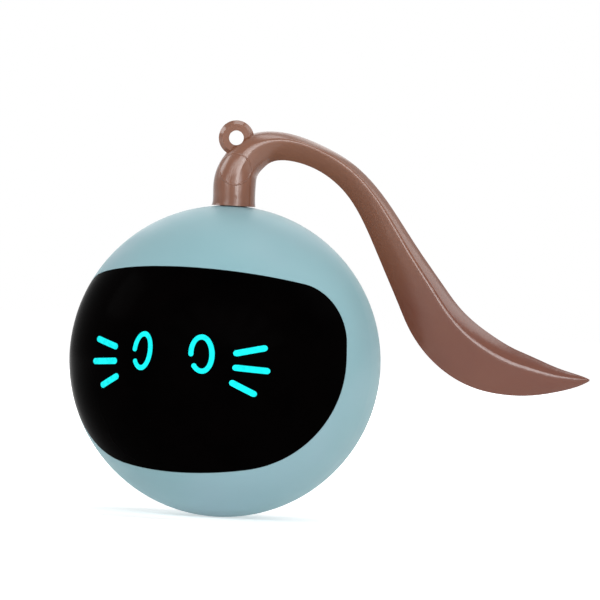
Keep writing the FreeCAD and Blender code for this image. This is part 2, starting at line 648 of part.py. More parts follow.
def gear_face(teeth, phase, y, z):
    pitch = teeth * s.gear_module / 2
    tip = pitch + s.tooth_top * s.gear_module
    root = pitch - s.tooth_bottom * s.gear_module
    base = pitch * math.cos(math.radians(s.pressure_angle))

    def involute(radius):
        angle = math.acos(min(1.0, base / radius))
        return math.tan(angle) - angle

    half_pitch_angle = math.pi / 2 / teeth - s.tooth_play / 2 / pitch

    def half_angle(radius):
        return half_pitch_angle + involute(pitch) - involute(max(radius, base))

    def point(radius, angle):
        return V(0, y + radius * math.cos(angle), z + radius * math.sin(angle))

    start = max(root, base)
    middle = (start + tip) / 2
    edges = []
    for k in range(teeth):
        at = math.radians(phase) + 2 * math.pi * k / teeth
        following = at + 2 * math.pi / teeth
        foot = half_angle(start)
        rising = [point(radius, at - half_angle(radius)) for radius in (start, middle, tip)]
        falling = [point(radius, at + half_angle(radius)) for radius in (tip, middle, start)]
        if root < base:
            edges.append(Part.LineSegment(point(root, at - foot), rising[0]))
        edges.append(Part.Arc(*rising))
        edges.append(Part.Arc(rising[-1], point(tip, at), falling[0]))
        edges.append(Part.Arc(*falling))
        if root < base:
            edges.append(Part.LineSegment(falling[-1], point(root, at + foot)))
        edges.append(Part.Arc(point(root, at + foot), point(root, at + math.pi / teeth),
                              point(root, following - foot)))
    return Part.Face(Part.Wire([edge.toShape() for edge in edges]))


def gear(name, teeth, phase, y, z, start, end):
    """A toothed rim between two planes across the axle."""
    blank = fixed(f"{name}_blank", gear_face(int(teeth), phase, y, z))
    rim = extrude(name, blank, V(1, 0, 0), f"{end} - {start}")
    return put(rim, x=start)


# Tail: a loft along a chain of tangent arcs in its own upright plane.

def tail_centre_line(percent):
    """Point on the centre line and its direction, in radians up from the tail's own X."""
    runs = [
        (s.tail_stem, 0),
        (s.tail_bend_radius, -s.tail_bend_angle),
        (s.tail_arch_radius, -s.tail_arch_angle),
        (s.tail_drop, 0),
        (s.tail_sweep_radius, s.tail_sweep_angle),
        (s.tail_tip_radius, s.tail_tip_angle),
    ]
    lengths = [size * math.radians(abs(degrees)) if degrees else size for size, degrees in runs]
    distance = sum(lengths) * percent / 100
    x, z, angle = 0.0, s.ball_radius - s.tail_sink, math.pi / 2
    for (size, degrees), length in zip(runs, lengths):
        turn = math.radians(degrees)
        share = min(1.0, distance / length)
        if degrees:
            side = math.copysign(size, turn)
            x += side * (math.sin(angle + turn * share) - math.sin(angle))
            z -= side * (math.cos(angle + turn * share) - math.cos(angle))
            angle += turn * share
        else:
            x += size * share * math.cos(angle)
            z += size * share * math.sin(angle)
        distance -= length
        if distance <= 0:
            break
    return x, z, angle


def tail_section(label):
    """A closed outline of four arcs that meet on a narrow rounded ridge at each side."""
    place, width, thickness, ridge = [getattr(s, f"tail_{label}_{kind}") for kind in SECTION_SIZES]
    x, z, angle = tail_centre_line(place)
    centre = V(x, 0, z)
    outward = V(-math.sin(angle), 0, math.cos(angle))
    sideways = V(0, 1, 0)
    ridge_height = width * (0.5 - ridge)
    roundness = max(s.tail_least_roundness, 1 - s.tail_flattening * (0.5 - ridge))
    bulge = 0.5 + (math.sqrt(0.5) - 0.5) * roundness

    def point(side, up):
        return centre + sideways * side + outward * up

    arcs = []
    corners = [(0, width / 2), (thickness / 2, ridge_height), (0, -width / 2), (-thickness / 2, ridge_height)]
    for k in range(4):
        start = corners[k]
        stop = corners[(k + 1) % 4]
        side = (start[0] + stop[0]) * bulge
        up = ridge_height + (start[1] + stop[1] - 2 * ridge_height) * bulge
        arcs.append(Part.ArcOfCircle(point(*start), point(side, up), point(*stop)))
    back = s.tail_ridge_edge * thickness
    right = ridge_arc(arcs[0], arcs[1], back)
    left = ridge_arc(arcs[2], arcs[3], back)
    edges = [shortened(arcs[0], 0, back), right, shortened(arcs[1], back, 0),
             shortened(arcs[2], 0, back), left, shortened(arcs[3], back, 0)]
    return Part.Wire([edge.toShape() for edge in edges])


def shortened(arc, from_start, from_end):
    """The arc without a run of its start and of its end."""
    first = arc.FirstParameter + from_start / arc.Radius
    last = arc.LastParameter - from_end / arc.Radius
    return Part.ArcOfCircle(arc.value(first), arc.value((first + last) / 2), arc.value(last))


def ridge_arc(before, after, back):
    """A small arc that leaves one arc and joins the next along their own directions."""
    leave = before.LastParameter - back / before.Radius
    join = after.FirstParameter + back / after.Radius
    start, stop = before.value(leave), after.value(join)
    way = V(*before.tangent(leave)[0])
    turn = way.getAngle(V(*after.tangent(join)[0]))
    meeting = start + way * ((stop - start).Length / 2 / math.cos(turn / 2))
    middle = (start + stop) / 2
    share = (1 - math.tan(turn / 4) ** 2) / 2
    return Part.ArcOfCircle(start, middle + (meeting - middle) * share, stop)


# Shells

hollow = cut("hollow_ball", sphere("ball_outside", "ball_radius"), [sphere("ball_inside", INNER)])
SCREWS = [(f"{side}{SCREW_X}", f"{level}{SCREW_Z}") for side in ("", "-") for level in ("", "-")]


def plate_outline(name, x, extra, grow):
    """The round outline with four flats that both side plates share."""
    disc = cylinder(f"{name}_disc", f"{PLATE_RADIUS} + {grow}", x, f"({x} + {extra})", axis="x")
    flats = box(f"{name}_flats", (x, f"({x} + {extra})"),
                (f"-({PLATE_DEPTH} + {grow})", f"({PLATE_DEPTH} + {grow})"),
                (f"-({PLATE_BOTTOM} + {grow})", f"({PLATE_TOP} + {grow})"))
    return common(name, [disc, flats])


def build_front_shell():
    shell = common("front_half", [hollow, slab("ahead_of_seam", f"-{WIDE}", "seam_place - seam_gap / 2")])
    rabbet = common("rabbet", [sphere("rabbet_ball", f"{INNER} + tongue_wall + fit_gap"),
                               slab("rabbet_slab", RABBET_FLOOR, "seam_place")])
    pocket = cut("visor_pocket", window_core("pocket_core", 0),
                 [sphere("pocket_floor", f"{VISOR_BACK} - fit_gap")])
    opening = window_core("opening_core", -s.window_ledge)
    shell = cut("windowed_shell", shell, [rabbet, pocket, opening])
    added = [cylinder("tail_socket", "socket_radius", SOCKET_END, MIDWALL)]
    removed = [cylinder("socket_bore", "tail_peg_radius + fit_gap", f"({SOCKET_END} - 1)", WIDE)]
    for k, (x, z) in enumerate(SCREWS):
        point = f"({SCREW_SEAT} - screw_length)"
        added.append(cylinder(f"shell_boss_{k}", "boss_radius", f"({point} - boss_floor)", RABBET_FLOOR,
                              x=x, z=z, axis="y"))
        removed.append(cylinder(f"boss_hole_{k}", "screw_radius + axle_gap", f"({point} - fit_gap)",
                                "seam_place", x=x, z=z, axis="y"))
    # Blocks that take the edges of the side plates, above and below, and stop them at the front.
    inner_ball = sphere("block_limit", MIDWALL)
    sides = [
        ("left", f"({LEFT_OUT} - guide_block_wall)", f"({LEFT_IN} - guide_block_wall / 2)",
         f"({LEFT_OUT} - fit_gap)", "2 * plate_thickness"),
        ("right", f"({RIGHT_IN} + fit_gap)", f"({RIGHT_OUT} + guide_block_wall)",
         f"({RIGHT_IN} - plate_thickness)", "2 * plate_thickness + fit_gap"),
    ]
    for side, start, end, slot_start, slot_extra in sides:
        upper = (f"({PLATE_TOP} - guide_block_depth)", WIDE)
        lower = (f"-{WIDE}", f"(guide_block_depth - {PLATE_BOTTOM})")
        for level, heights in (("upper", upper), ("lower", lower)):
            block = box(f"{level}_{side}_block", (start, end),
                        ("-guide_block_front", "(guide_block_length - guide_block_front)"), heights)
            added.append(common(f"{level}_{side}_guide", [block, inner_ball]))
        removed.append(plate_outline(f"{side}_plate_slot", slot_start, f"({slot_extra})", "fit_gap"))
    # Room for the motor's cup, which comes near the lower right block on a smaller ball.
    removed.append(cylinder("cup_room", "motor_radius + fit_gap + motor_cup_wall + run_gap", RIGHT_IN,
                            f"({RIGHT_OUT} + guide_block_wall + run_gap)", y=MOTOR_Y, z=MOTOR_Z, axis="x"))
    node("front_shell", cut("front_shell_body", fuse("front_shell_solid", [shell] + added), removed))


def stadium(name, half_width, half_height, start, end, z):
    """A flat-sided hole or block with round ends that runs from front to rear."""
    straight = f"({half_width} - {half_height})"
    middle = box(f"{name}_middle", (f"-{straight}", straight), (start, end),
                 (f"({z} - {half_height})", f"({z} + {half_height})"))
    ends = [cylinder(f"{name}_end_{side}", half_height, start, end, x=x, z=z, axis="y")
            for side, x in (("right", straight), ("left", f"-{straight}"))]
    return fuse(name, [middle] + ends)


def build_rear_cover():
    shell = common("rear_half", [hollow, slab("behind_seam", "seam_place + seam_gap / 2", WIDE)])
    tongue_ball = cut("tongue_ball", sphere("tongue_outside", f"{INNER} + tongue_wall"),
                      [sphere("tongue_inside", INNER)])
    tongue = common("tongue", [tongue_ball, slab("tongue_slab", TONGUE_END, "seam_place + shell_wall / 2")])
    behind = common("column_rear_limit", [sphere("column_ball", "ball_radius"),
                                          slab("column_slab", "seam_place + seam_gap / 2", WIDE)])
    whole_ball = fuse("column_limit", [behind, sphere("column_front_limit", f"{INNER} + tongue_wall")])
    inner_ball = sphere("rib_limit", MIDWALL)
    added = [shell, tongue]
    removed = []
    for k, (x, z) in enumerate(SCREWS):
        column = cylinder(f"column_{k}", "column_radius", TONGUE_END, WIDE, x=x, z=z, axis="y")
        added.append(common(f"column_in_ball_{k}", [column, whole_ball]))
        removed.append(cylinder(f"counterbore_{k}", "screw_head_radius + run_gap", SCREW_SEAT, WIDE,
                                x=x, z=z, axis="y"))
        removed.append(cylinder(f"clearance_hole_{k}", "screw_radius + run_gap", "0", WIDE,
                                x=x, z=z, axis="y"))
    for k, (x, z) in enumerate(board_screw_places()):
        post = cylinder(f"board_post_{k}", "board_post_radius", BOARD_BACK, WIDE, x=x, z=z, axis="y")
        added.append(common(f"board_post_in_ball_{k}", [post, inner_ball]))
        removed.append(cylinder(f"post_hole_{k}", "board_screw_radius + axle_gap", BOARD_FRONT,
                                f"({BOARD_BACK} + board_screw_reach + fit_gap)", x=x, z=z, axis="y"))
    for level, sign in (("upper", ""), ("lower", "-")):
        near, far = "rear_rib_height", "(rear_rib_height + rear_rib_thickness)"
        heights = (near, far) if sign == "" else (f"-{far}", f"-{near}")
        rib = box(f"{level}_rear_block",
                  (f"({LEFT_OUT} - guide_block_wall)", f"({RIGHT_OUT} + guide_block_wall)"),
                  (f"({PLATE_DEPTH} + run_gap)", WIDE), heights)
        added.append(common(f"{level}_rear_rib", [rib, inner_ball]))
    removed.append(stadium("port_slot", "(port_half_width + port_gap)", "(port_half_height + port_gap)",
                           BOARD_BACK, WIDE, "-port_drop"))
    removed.append(cylinder("button_hole", "button_radius + run_gap", BOARD_BACK, WIDE,
                            z="button_rise", axis="y"))
    node("rear_cover", cut("rear_cover_body", fuse("rear_cover_solid", added), removed))


def board_screw_places():
    return [(f"{side}board_screw_spread", f"{level}board_screw_height")
            for side in ("", "-") for level in ("", "-")]


# Face

def build_visor():
    disc = common("visor_disc", [sphere("visor_outside", "ball_radius"),
                                 window_core("visor_core", -s.fit_gap)])
    slots = marks("mark_slots", s.mark_gap)
    node("visor", cut("visor_body", disc, [sphere("visor_inside", VISOR_BACK), slots]))


def build_light_guide():
    whole = cut("guide_ball", sphere("guide_outside", GUIDE_FACE), [sphere("guide_inside", GUIDE_BACK)])
    plate = common("guide_plate", [whole, box("guide_block", ("-guide_half_width", "guide_half_width"),
                                              (f"-{WIDE}", "0"), ("-guide_bottom", "guide_top"))])
    rib_ball = cut("rib_ball", sphere("rib_outside", "ball_radius"),
                   [sphere("rib_inside", f"{GUIDE_BACK} + fit_gap")])
    ribs = common("light_ribs", [marks("rib_marks", 0), rib_ball])
    pieces = [plate, ribs]
    inside = sphere("peg_limit", f"{GUIDE_FACE} - fit_gap")
    for k, (x, z) in enumerate(guide_peg_places()):
        shoulder = cylinder(f"shoulder_{k}", "guide_shoulder_radius", f"-{WIDE}",
                            f"(-{LED_BOARD_FRONT} - fit_gap)", x=x, z=z, axis="y")
        pin = cylinder(f"guide_pin_{k}", "guide_pin_radius", f"(-{GUIDE_BACK} + guide_wall)",
                       f"(-{LED_BOARD_BACK} + 2 * run_gap)", x=x, z=z, axis="y")
        pieces.append(common(f"shoulder_in_ball_{k}", [shoulder, inside]))
        pieces.append(common(f"pin_in_ball_{k}", [pin, inside]))
    node("face_light_guide", fuse("guide_body", pieces))


def guide_peg_places():
    heights = ("guide_peg_rise", "-guide_peg_drop")
    return [(f"{side}guide_peg_spread", z) for side in ("", "-") for z in heights]


def build_led_board():
    body = new_body("led_board_body")
    drawing = sketch_on(body, "XZ_Plane", LED_BOARD_BACK)
    draw_polygon(drawing, rectangle((f"-{LED_BOARD_WIDE}", LED_BOARD_WIDE),
                                    ("-led_board_bottom", "led_board_top")))
    for x, z in guide_peg_places():
        draw_circle(drawing, "guide_pin_radius + fit_gap", x, z)
    pad(body, drawing, "led_board_thickness")
    node("led_board", body)
    packages = []
    half_length, half_width = "led_length / 2", "led_width / 2"
    places = [("eye_spread", "(eye_rise + eye_half_height / 2)"),
              ("eye_spread", "(eye_rise - eye_half_height * 0.7)"),
              (f"({LED_BOARD_WIDE} - led_length)", "whisker_top_rise"),
              (f"({LED_BOARD_WIDE} - led_length)", "-(whisker_low_drop * 0.6)")]
    for side in ("", "-"):
        for x, z in places:
            centre = f"{side}{x}"
            packages.append(box(f"led_{len(packages)}",
                                (f"({centre} - {half_length})", f"({centre} + {half_length})"),
                                (f"(-{LED_BOARD_FRONT} - led_height)", f"-{LED_BOARD_FRONT}"),
                                (f"({z} - {half_width})", f"({z} + {half_width})")))
    node("face_leds", group("led_group", packages))


# Tail

def build_tail():
    wires = [fixed(f"tail_{section[0]}", tail_section(section[0])) for section in TAIL_SECTIONS]
    loft = doc.addObject("Part::Loft", "tail_loft")
    loft.Sections = wires
    loft.Solid = True
    loft.Ruled = False
    half = "eyelet_thickness / 2"
    ring = turned("eyelet", [
        ("eyelet_hole_radius", f"-{half}"), ("(eyelet_radius - eyelet_edge)", f"-{half}"),
        ("eyelet_radius", f"(eyelet_edge - {half})"), ("eyelet_radius", f"({half} - eyelet_edge)"),
        ("(eyelet_radius - eyelet_edge)", half), ("eyelet_hole_radius", half)])
    put(ring, x=EYELET_X, z=EYELET_Z, axis="y")
    peg = cylinder("tail_peg", "tail_peg_radius", PEG_END, f"({TAIL_FOOT} + tail_peg_radius)")
    hole = cylinder("eyelet_hole", "eyelet_hole_radius", f"-{WIDE}", WIDE, x=EYELET_X, z=EYELET_Z, axis="y")
    screw_hole = cylinder("tail_screw_hole", "tail_screw_radius + axle_gap", f"({PEG_END} - 1)",
                          f"({WASHER_END} + tail_screw_length + fit_gap)")
    whole = fuse("tail_solid", [loft, ring, peg])
    tail = cut("tail_body", whole, [hole, screw_hole])
    tail.Placement = FreeCAD.Placement(V(), FreeCAD.Rotation(V(0, 0, 1), s.tail_turn))
    node("tail", tail)
    washer = turned("tail_washer_body", [
        ("tail_screw_radius + run_gap", WASHER_END), ("tail_washer_radius", WASHER_END),
        ("tail_washer_radius", PEG_END), ("tail_screw_radius + run_gap", PEG_END)])
    node("tail_washer", washer)
    node("tail_screw", screw("tail_screw_body", "tail_screw_radius", "tail_screw_head_radius",
                             "tail_screw_head", "tail_screw_length"), WASHER_END)


# Drive unit

def post_places():
    return [(f"{side}{POST_Y}", f"{level}{POST_Z}") for side in ("", "-") for level in ("", "-")]


def build_chassis():
    plate = plate_outline("right_plate", RIGHT_IN, "plate_thickness", "0")
    added = [plate]
    removed = [cylinder("right_bush_hole", "bush_radius", LEFT_OUT, RIGHT_OUT, axis="x"),
               cylinder("gear_pin_hole", "gear_pin_radius", RIGHT_IN, RIGHT_OUT, y=PIN_Y, z=PIN_Z, axis="x"),
               cylinder("motor_hole", "motor_hole_radius", f"({RIGHT_IN} - 1)", f"({RIGHT_OUT} + 1)",
                        y=MOTOR_Y, z=MOTOR_Z, axis="x"),
               cylinder("motor_seat", "motor_radius + fit_gap", RIGHT_OUT, WIDE,
                        y=MOTOR_Y, z=MOTOR_Z, axis="x")]
    added.append(cylinder("motor_cup", "motor_radius + fit_gap + motor_cup_wall", RIGHT_IN,
                          f"({RIGHT_OUT} + motor_cup_length)", y=MOTOR_Y, z=MOTOR_Z, axis="x"))
    for k, (y, z) in enumerate(post_places()):
        added.append(cylinder(f"post_{k}", "post_radius", f"({LEFT_IN} + fit_gap)", RIGHT_OUT,
                              y=y, z=z, axis="x"))
        removed.append(cylinder(f"chassis_hole_{k}", "chassis_screw_radius + axle_gap", LEFT_OUT,
                                f"({LEFT_OUT} + chassis_screw_length + fit_gap)", y=y, z=z, axis="x"))
    # Room for the reduction gear's wheel, which comes near the lower rear post on a smaller ball.
    removed.append(cylinder("wheel_room", "(wheel_teeth / 2 + tooth_top) * gear_module + run_gap",
                            f"({WHEEL_LEFT} - run_gap)", f"({WHEEL_RIGHT} + run_gap)",
                            y=PIN_Y, z=PIN_Z, axis="x"))
    node("drive_chassis", cut("chassis_body", fuse("chassis_solid", added), removed))


def build_chassis_cover():
    plate = plate_outline("left_plate", LEFT_OUT, "plate_thickness", "0")
    removed = [cylinder("left_bush_hole", "bush_radius", f"({LEFT_OUT} - 1)", f"({LEFT_IN} + 1)", axis="x")]
    screws = []
    for k, (y, z) in enumerate(post_places()):
        removed.append(cylinder(f"cover_hole_{k}", "chassis_screw_radius + axle_gap", f"({LEFT_OUT} - 1)",
                                f"({LEFT_IN} + 1)", y=y, z=z, axis="x"))
        removed.append(cylinder(f"cover_sink_{k}", "chassis_screw_head_radius + fit_gap", f"({LEFT_OUT} - 1)",
                                f"({LEFT_OUT} + chassis_screw_head)", y=y, z=z, axis="x"))
        item = screw(f"chassis_screw_{k}", "chassis_screw_radius", "chassis_screw_head_radius",
                     "chassis_screw_head", "(chassis_screw_length - chassis_screw_head)")
        screws.append(put(item, f"({LEFT_OUT} + chassis_screw_head)", y, z, axis="x"))
    node("chassis_cover", cut("chassis_cover_body", plate, removed))
    node("chassis_screws", group("chassis_screw_group", screws))


def bush(name):
    """A flanged bush along its own Z, with its flange at the end."""
    bore = "axle_radius + axle_gap"
    return turned(name, [
        (bore, "0"), ("bush_radius", "0"), ("bush_radius", "plate_thickness"),
        ("bush_flange_radius", "plate_thickness"), ("bush_flange_radius", "plate_thickness + bush_flange"),
        (bore, "plate_thickness + bush_flange")])


def build_axle():
    node("left_bush", put(bush("left_bush_body"), x=LEFT_OUT, axis="x"))
    node("right_bush", put(bush("right_bush_body"), x=RIGHT_OUT, axis="-x"))
    chamfer = "(axle_radius / 4)"
    length = "(left_plate_outer + right_plate_outer - fit_gap - axle_end_recess)"
    axle = turned("axle_body", [
        ("0", "0"), (f"axle_radius - {chamfer}", "0"), ("axle_radius", chamfer),
        ("axle_radius", f"{length} - {chamfer}"), (f"axle_radius - {chamfer}", length), ("0", length)])
    node("drive_axle", put(axle, x=f"({LEFT_OUT} + fit_gap)", axis="x"))


def build_counterweight():
    disc = cylinder("weight_disc", WEIGHT_RADIUS, WEIGHT_LEFT, WEIGHT_RIGHT, axis="x")
    lower = box("weight_lower_half", (WEIGHT_LEFT, WEIGHT_RIGHT), (f"-{WIDE}", WIDE),
                (f"-{WIDE}", "-weight_drop"))
    hub = cylinder("weight_hub", "weight_hub_radius", WEIGHT_LEFT, WEIGHT_RIGHT, axis="x")
    middle = f"({WEIGHT_LEFT} + weight_thickness / 2)"
    bore = cylinder("weight_bore", "axle_radius + axle_gap / 3", LEFT_OUT, RIGHT_OUT, axis="x")
    thread = cylinder("set_screw_hole", "set_screw_radius + axle_gap", "0", WIDE, x=middle)
    solid = fuse("weight_solid", [common("weight_half_disc", [disc, lower]), hub])
    node("counterweight", cut("weight_body", solid, [bore, thread]))
    set_screw = turned("set_screw_body", [
        ("0", "0"), ("set_screw_radius", "0"),
        ("set_screw_radius", "set_screw_length - set_screw_radius / 4"),
        ("set_screw_radius * 0.75", "set_screw_length"), ("0", "set_screw_length")])
    node("counterweight_screw", put(set_screw, x=middle), "(axle_radius + fit_gap)")


def build_gears():
    pin_angle, motor_angle = s.reduction_gear_angle, s.motor_angle
    stage_two = (s.pinion_teeth + s.output_teeth) * s.gear_module / 2
    stage_one = (s.pinion_teeth + s.wheel_teeth) * s.gear_module / 2
    pin_y = stage_two * math.cos(math.radians(pin_angle))
    pin_z = stage_two * math.sin(math.radians(pin_angle))
    motor_y = pin_y + stage_one * math.cos(math.radians(motor_angle))
    motor_z = pin_z + stage_one * math.sin(math.radians(motor_angle))

    rim = gear("output_rim", s.output_teeth, 0, 0, 0, RIM_LEFT, RIM_RIGHT)
    boss = cylinder("output_boss", "output_gear_boss_radius", f"({WEIGHT_RIGHT} + run_gap)",
                    RIM_RIGHT, axis="x")
    hub = cylinder("output_hub", "output_gear_hub_radius", RIM_LEFT,
                   f"({RIGHT_IN} - bush_flange - run_gap)", axis="x")
    bore = cylinder("output_bore", "axle_radius + axle_gap / 3", LEFT_OUT, RIGHT_OUT, axis="x")
    node("output_gear", cut("output_gear_body", fuse("output_gear_solid", [rim, boss, hub]), [bore]))

    small_phase = tooth_phase(0, s.output_teeth, pin_angle, s.pinion_teeth)
    small = gear("reduction_pinion", s.pinion_teeth, small_phase, pin_y, pin_z, RIM_LEFT, WHEEL_RIGHT)
    large = gear("reduction_wheel", s.wheel_teeth, 0, pin_y, pin_z, WHEEL_LEFT, WHEEL_RIGHT)
    collar = cylinder("reduction_collar", "3 * gear_pin_radius", WHEEL_LEFT, f"({RIGHT_IN} - run_gap)",
                      y=PIN_Y, z=PIN_Z, axis="x")
    bore = cylinder("reduction_bore", "gear_pin_radius + axle_gap", f"-{WIDE}", WIDE,
                    y=PIN_Y, z=PIN_Z, axis="x")
    node("reduction_gear", cut("reduction_body", fuse("reduction_solid", [small, large, collar]), [bore]))

    reach = f"({RIGHT_OUT} - {RIM_LEFT} + run_gap)"
    pin = turned("gear_pin_body", [
        ("0", "0"), ("gear_pin_radius", "0"), ("gear_pin_radius", reach), ("gear_pin_head_radius", reach),
        ("gear_pin_head_radius", f"{reach} + gear_pin_head"), ("0", f"{reach} + gear_pin_head")])
    node("gear_pin", put(pin, x=RIGHT_OUT, y=PIN_Y, axis="-x"), PIN_Z)

    motor_phase = tooth_phase(0, s.wheel_teeth, motor_angle, s.pinion_teeth)
    pinion_end = f"({WHEEL_RIGHT} + fit_gap)"
    teeth = gear("motor_pinion_rim", s.pinion_teeth, motor_phase, motor_y, motor_z, WHEEL_LEFT, pinion_end)
    bore = cylinder("motor_pinion_bore", "motor_shaft_radius + axle_gap / 3", f"-{WIDE}", WIDE,
                    y=MOTOR_Y, z=MOTOR_Z, axis="x")
    node("motor_pinion", cut("motor_pinion_body", teeth, [bore]))


def build_motor():
    can = turned("motor_can_body", [
        ("motor_shaft_radius + run_gap", "-motor_boss"), ("motor_boss_radius", "-motor_boss"),
        ("motor_boss_radius", "0"), ("motor_radius - 0.4", "0"), ("motor_radius", "0.4"),
        ("motor_radius", MOTOR_LENGTH), ("0", MOTOR_LENGTH), ("0", "2 * motor_boss"),
        ("motor_shaft_radius + run_gap", "2 * motor_boss")])
    node("motor_can", put(can, x=MOTOR_FACE, y=MOTOR_Y, axis="x"), MOTOR_Z)
    cap = turned("end_cap_body", [
        ("0", "0"), ("end_cap_radius", "0"), ("end_cap_radius", "end_cap_thickness * 0.6"),
        ("end_cap_radius * 0.9", "end_cap_thickness"), ("0", "end_cap_thickness")])
    node("motor_end_cap", put(cap, x=MOTOR_END, y=MOTOR_Y, axis="x"), MOTOR_Z)
    length = f"{MOTOR_FACE} - {WHEEL_LEFT} + motor_boss"
    shaft = turned("motor_shaft_body", [
        ("0", "0"), ("motor_shaft_radius", "0"), ("motor_shaft_radius", length), ("0", length)])
    node("motor_shaft", put(shaft, x=WHEEL_LEFT, y=MOTOR_Y, axis="x"), MOTOR_Z)
    start = f"({MOTOR_END} + end_cap_thickness)"
    tabs = []
    for name, place in (("rear", "terminal_spread"), ("front", "-terminal_spread")):
        y = f"({MOTOR_Y} + {place})"
        tabs.append(box(f"{name}_terminal", (start, f"({start} + terminal_length)"),
                        (f"({y} - terminal_thickness / 2)", f"({y} + terminal_thickness / 2)"),
                        (f"({MOTOR_Z} - terminal_width / 2)", f"({MOTOR_Z} + terminal_width / 2)")))
    node("motor_terminals", group("terminal_group", tabs))


def build_battery():
    body = new_body("battery_body")
    drawing = sketch_on(body, "XY_Plane")
    front, rear = "battery_offset - battery_width / 2", "battery_offset + battery_width / 2"
    draw_polygon(drawing, rectangle(("-battery_thickness / 2", "battery_thickness / 2"), (front, rear)))
    pad(body, drawing, "battery_height")
    round_upright(body, "battery_edge")
    node("battery", put(body, x=f"({BATTERY_LEFT} + battery_thickness / 2)"), BATTERY_LOW)
    inset = "battery_edge"
    pad_box = box("battery_pad_body", (RIGHT_OUT, BATTERY_LEFT),
                  (f"({front} + {inset})", f"({rear} - {inset})"),
                  ("0", f"(battery_height - {inset})"))
    node("battery_pad", pad_box, BATTERY_LOW)


# Main board and what is on it

def build_main_board():
    body = new_body("main_board_body")
    drawing = sketch_on(body, "XZ_Plane", f"-{BOARD_BACK}")
    draw_polygon(drawing, rectangle(("-board_half_width", "board_half_width"),
                                    ("-board_half_height", "board_half_height")))
    for x, z in board_screw_places():
        draw_circle(drawing, "board_screw_radius + fit_gap", x, z)
    pad(body, drawing, "board_thickness")
    node("main_board", body)
    screws = []
    for k, (x, z) in enumerate(board_screw_places()):
        item = screw(f"board_screw_{k}", "board_screw_radius", "board_screw_head_radius", "board_screw_head",
                     "(board_thickness + board_screw_reach)")
        screws.append(put(item, x, BOARD_FRONT, z, axis="y"))
    node("board_screws", group("board_screw_group", screws))
    chips = []
    for name, width, place in (("controller", "chip_width", "-controller_place"),
                               ("charger", "small_chip_width", "charger_place")):
        chips.append(box(f"{name}_chip", (f"({place} - {width} / 2)", f"({place} + {width} / 2)"),
                         (f"({BOARD_FRONT} - chip_height)", BOARD_FRONT),
                         (f"-{width} / 2", f"({width} / 2)")))
    node("control_chips", group("chip_group", chips))


def build_charge_port():
    outside = stadium("port_outside", "port_half_width", "port_half_height",
                      BOARD_BACK, PORT_MOUTH, "-port_drop")
    inside = stadium("port_inside", "(port_half_width - port_wall)", "(port_half_height - port_wall)",
                     f"({BOARD_BACK} + port_floor)", WIDE, "-port_drop")
    contact = box("port_tongue", ("-port_tongue_half_width", "port_tongue_half_width"),
                  (BOARD_BACK, f"({PORT_MOUTH} - port_wall)"),
                  ("(-port_drop - port_tongue_thickness / 2)", "(-port_drop + port_tongue_thickness / 2)"))
    node("charge_port", fuse("port_body", [cut("port_sleeve", outside, [inside]), contact]))


def build_button():
    top = "(sqrt(ball_radius ^ 2 - button_rise ^ 2) + button_proud)"
    cap = turned("button_body", [
        ("0", FLANGE_BOTTOM), ("button_flange_radius", FLANGE_BOTTOM), ("button_flange_radius", FLANGE_TOP),
        ("button_radius", FLANGE_TOP), ("button_radius", f"{top} - button_edge"),
        ("button_radius - button_edge", top), ("0", top)])
    node("power_button", put(cap, axis="y"), "button_rise")
    width = "switch_half_width"
    block = box("switch_block", (f"-{width}", width), (BOARD_BACK, SWITCH_TOP),
                (f"(button_rise - {width})", f"(button_rise + {width})"))
    well = cylinder("switch_well", "plunger_radius + run_gap",
                    f"({SWITCH_TOP} - plunger_depth - button_travel - run_gap)",
                    WIDE, z="button_rise", axis="y")
    node("power_switch", cut("switch_body", block, [well]))
    plunger = turned("plunger_body", [
        ("0", f"{SWITCH_TOP} - plunger_depth"), ("plunger_radius", f"{SWITCH_TOP} - plunger_depth"),
        ("plunger_radius", f"{FLANGE_BOTTOM} - fit_gap"), ("0", f"{FLANGE_BOTTOM} - fit_gap")])
    node("switch_plunger", put(plunger, axis="y"), "button_rise")


def build_shell_screws():
    screws = []
    for k, (x, z) in enumerate(SCREWS):
        item = screw(f"shell_screw_{k}", "screw_radius", "screw_head_radius", "screw_head", "screw_length")
        screws.append(put(item, x, SCREW_SEAT, z, axis="-y"))
    node("shell_screws", group("shell_screw_group", screws))


build_front_shell()
build_rear_cover()
build_visor()
build_light_guide()
build_led_board()
build_tail()
build_chassis()
build_chassis_cover()
build_axle()
build_counterweight()
build_gears()
build_motor()
build_battery()
build_main_board()
build_charge_port()
build_button()
build_shell_screws()
doc.recompute()

for item in doc.Objects:
    if "Invalid" in item.State or "Error" in item.State:
        raise RuntimeError(f"{item.Name} did not build: {item.State}")
for label, item in nodes.items():
    if item.Shape.isNull() or not item.Shape.isValid() or not item.Shape.Solids:
        raise RuntimeError(f"{label} has no valid solid")
for label, item in nodes.items():
    item.Shape.exportStep(f"parts/{label}.step")
    print(f"{label}: {len(item.Shape.Solids)} solid, {item.Shape.Volume:.1f} mm3")
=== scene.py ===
import json
import math

import bmesh
import bpy
from mathutils import Matrix, Vector
from mathutils.bvhtree import BVHTree


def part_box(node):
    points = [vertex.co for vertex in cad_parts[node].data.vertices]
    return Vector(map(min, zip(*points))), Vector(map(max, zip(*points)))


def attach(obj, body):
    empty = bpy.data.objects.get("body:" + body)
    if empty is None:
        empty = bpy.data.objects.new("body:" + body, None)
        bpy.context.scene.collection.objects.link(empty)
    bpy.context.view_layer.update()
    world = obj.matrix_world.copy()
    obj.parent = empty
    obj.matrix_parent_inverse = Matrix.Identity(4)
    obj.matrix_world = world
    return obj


# Looks of the self-rolling cat ball. Metres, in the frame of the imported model: X to the right of
# the face, -Y where the face looks, Z up, the floor at zero.

